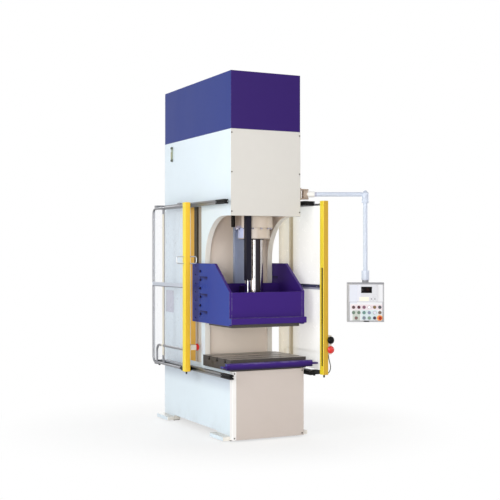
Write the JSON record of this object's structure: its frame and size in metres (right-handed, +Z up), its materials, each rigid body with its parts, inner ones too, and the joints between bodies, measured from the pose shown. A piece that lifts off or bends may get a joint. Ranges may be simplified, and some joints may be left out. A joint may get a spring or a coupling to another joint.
{
  "type": "hydraulic press",
  "caption": "Free-standing C-frame hydraulic press with T-slotted table, sliding side guards with light curtains, and a control pendant on a swivel arm.",
  "frame": {"origin": "centre of the anchor-bolt pattern on the underside of the foot plates", "axes": "+Z up; front of the press towards -Y; +X to the right seen from the front"},
  "size_m": [1.7127, 1.9401, 3.3],
  "materials": {
    "white_paint": "satin",
    "cream_paint": "satin",
    "blue_paint": "satin",
    "dark_paint": "satin",
    "tan_paint": "satin",
    "arm_paint": "satin",
    "pendant_paint": "satin",
    "yellow_paint": "satin",
    "black_anodised": "matte",
    "machined_steel": "satin",
    "dark_steel": "satin",
    "polished_steel": "polished",
    "zinc_screws": "satin",
    "black_screws": "satin",
    "chrome": "polished",
    "aluminium": "satin",
    "bronze": "satin",
    "key_metal": "polished",
    "black_rubber": "matte",
    "gauge_glass": "gloss",
    "clear_plastic": "gloss",
    "red_plastic": "gloss",
    "black_plastic": "gloss",
    "display_plastic": "satin",
    "lamp_plastic": "gloss",
    "green_plastic": "gloss",
    "blue_plastic": "gloss",
    "white_plastic": "gloss",
    "grey_plastic": "gloss"
  },
  "bodies": {
    "root": {"left_cheek": "white_paint", "right_cheek": "white_paint", "throat_web": "white_paint", "bed_plate": "white_paint", "rear_plate": "white_paint", "cylinder_plate": "white_paint", "head_cover": "cream_paint", "base_cover": "cream_paint", "cover_screws": "zinc_screws", "hood": "blue_paint", "foot_pads": "black_rubber", "bolster": "machined_steel", "table_front_bar": "blue_paint", "left_way": "polished_steel", "right_way": "polished_steel", "cylinder_barrel": "dark_paint", "cylinder_gland": "dark_steel", "transducer_tube": "black_anodised", "oil_tank": "dark_paint", "pump_motor": "dark_paint", "valve_block": "dark_steel", "oil_level_gauge": "gauge_glass", "left_rails": "aluminium", "right_rails": "aluminium", "arm_bracket": "tan_paint"},
    "slide": {"slide_left_plate": "blue_paint", "slide_right_plate": "blue_paint", "slide_box": "blue_paint", "ram_plate": "blue_paint", "tool_plate": "dark_steel", "piston_rod": "chrome", "transducer_rod": "polished_steel", "left_gib": "bronze", "right_gib": "bronze", "gib_screws": "black_screws", "rear_guide_bar": "polished_steel"},
    "left_guard": {"left_post": "yellow_paint", "left_guard_frame": "aluminium", "left_guard_panel": "clear_plastic"},
    "left_stop": {"left_stop_button": "red_plastic"},
    "right_guard": {"right_post": "yellow_paint", "right_guard_frame": "aluminium", "right_guard_panel": "clear_plastic", "button_cable": "black_rubber"},
    "right_stop": {"right_stop_button": "red_plastic"},
    "right_start": {"right_start_button": "black_plastic"},
    "arm": {"pendant_arm": "arm_paint"},
    "pendant": {"pendant_case": "pendant_paint", "front_panel": "pendant_paint", "display_unit": "display_plastic", "pilot_lamps": "lamp_plastic"},
    "green_button": {"green_button": "green_plastic"},
    "blue_button": {"blue_button": "blue_plastic"},
    "white_button": {"white_button": "white_plastic"},
    "grey_button": {"grey_button": "grey_plastic"},
    "start_button": {"start_button": "green_plastic"},
    "black_button": {"black_button": "black_plastic"},
    "selector_switch": {"selector_switch": "black_plastic"},
    "key_switch": {"key_switch": "key_metal"},
    "emergency_stop": {"emergency_stop": "red_plastic"}
  },
  "joints": [
    {"name": "slide_stroke", "type": "slide", "parent": "root", "child": "slide", "axis": [0, 0, 1], "range_m": [-0.22, 0.28]},
    {"name": "left_guard_travel", "type": "slide", "parent": "root", "child": "left_guard", "axis": [0, 1, 0], "range_m": [-0.804, 0]},
    {"name": "right_guard_travel", "type": "slide", "parent": "root", "child": "right_guard", "axis": [0, 1, 0], "range_m": [0, 0.804]},
    {"name": "left_stop_press", "type": "slide", "parent": "left_guard", "child": "left_stop", "axis": [-1, 0, 0], "range_m": [0, 0.005], "stiffness_N_per_m": 600},
    {"name": "right_stop_press", "type": "slide", "parent": "right_guard", "child": "right_stop", "axis": [0, 1, 0], "range_m": [0, 0.005], "stiffness_N_per_m": 600},
    {"name": "right_start_press", "type": "slide", "parent": "right_guard", "child": "right_start", "axis": [0, 1, 0], "range_m": [0, 0.005], "stiffness_N_per_m": 600},
    {"name": "arm_swivel", "type": "hinge", "parent": "root", "child": "arm", "pos_m": [0.427, -0.7575, 2.208], "axis": [0, 0, 1], "range_deg": [-75, 75]},
    {"name": "pendant_swivel", "type": "hinge", "parent": "arm", "child": "pendant", "pos_m": [0.92697, -1.00528, 1.416], "axis": [0, 0, 1], "range_deg": [-150, 150]},
    {"name": "green_button_press", "type": "slide", "parent": "pendant", "child": "green_button", "axis": [0.4441, 0.896, 0], "range_m": [0, 0.003], "stiffness_N_per_m": 600},
    {"name": "blue_button_press", "type": "slide", "parent": "pendant", "child": "blue_button", "axis": [0.4441, 0.896, 0], "range_m": [0, 0.003], "stiffness_N_per_m": 600},
    {"name": "white_button_press", "type": "slide", "parent": "pendant", "child": "white_button", "axis": [0.4441, 0.896, 0], "range_m": [0, 0.003], "stiffness_N_per_m": 600},
    {"name": "grey_button_press", "type": "slide", "parent": "pendant", "child": "grey_button", "axis": [0.4441, 0.896, 0], "range_m": [0, 0.003], "stiffness_N_per_m": 600},
    {"name": "start_button_press", "type": "slide", "parent": "pendant", "child": "start_button", "axis": [0.4441, 0.896, 0], "range_m": [0, 0.003], "stiffness_N_per_m": 600},
    {"name": "black_button_press", "type": "slide", "parent": "pendant", "child": "black_button", "axis": [0.4441, 0.896, 0], "range_m": [0, 0.003], "stiffness_N_per_m": 600},
    {"name": "emergency_stop_press", "type": "slide", "parent": "pendant", "child": "emergency_stop", "axis": [0.4441, 0.896, 0], "range_m": [0, 0.004], "stiffness_N_per_m": 600},
    {"name": "selector_turn", "type": "hinge", "parent": "pendant", "child": "selector_switch", "pos_m": [1.01366, -1.1141, 1.1184], "axis": [0.4441, 0.896, 0], "range_deg": [-45, 45]},
    {"name": "key_turn", "type": "hinge", "parent": "pendant", "child": "key_switch", "pos_m": [0.81932, -1.01778, 1.0689], "axis": [0.4441, 0.896, 0], "range_deg": [0, 90]}
  ]
}
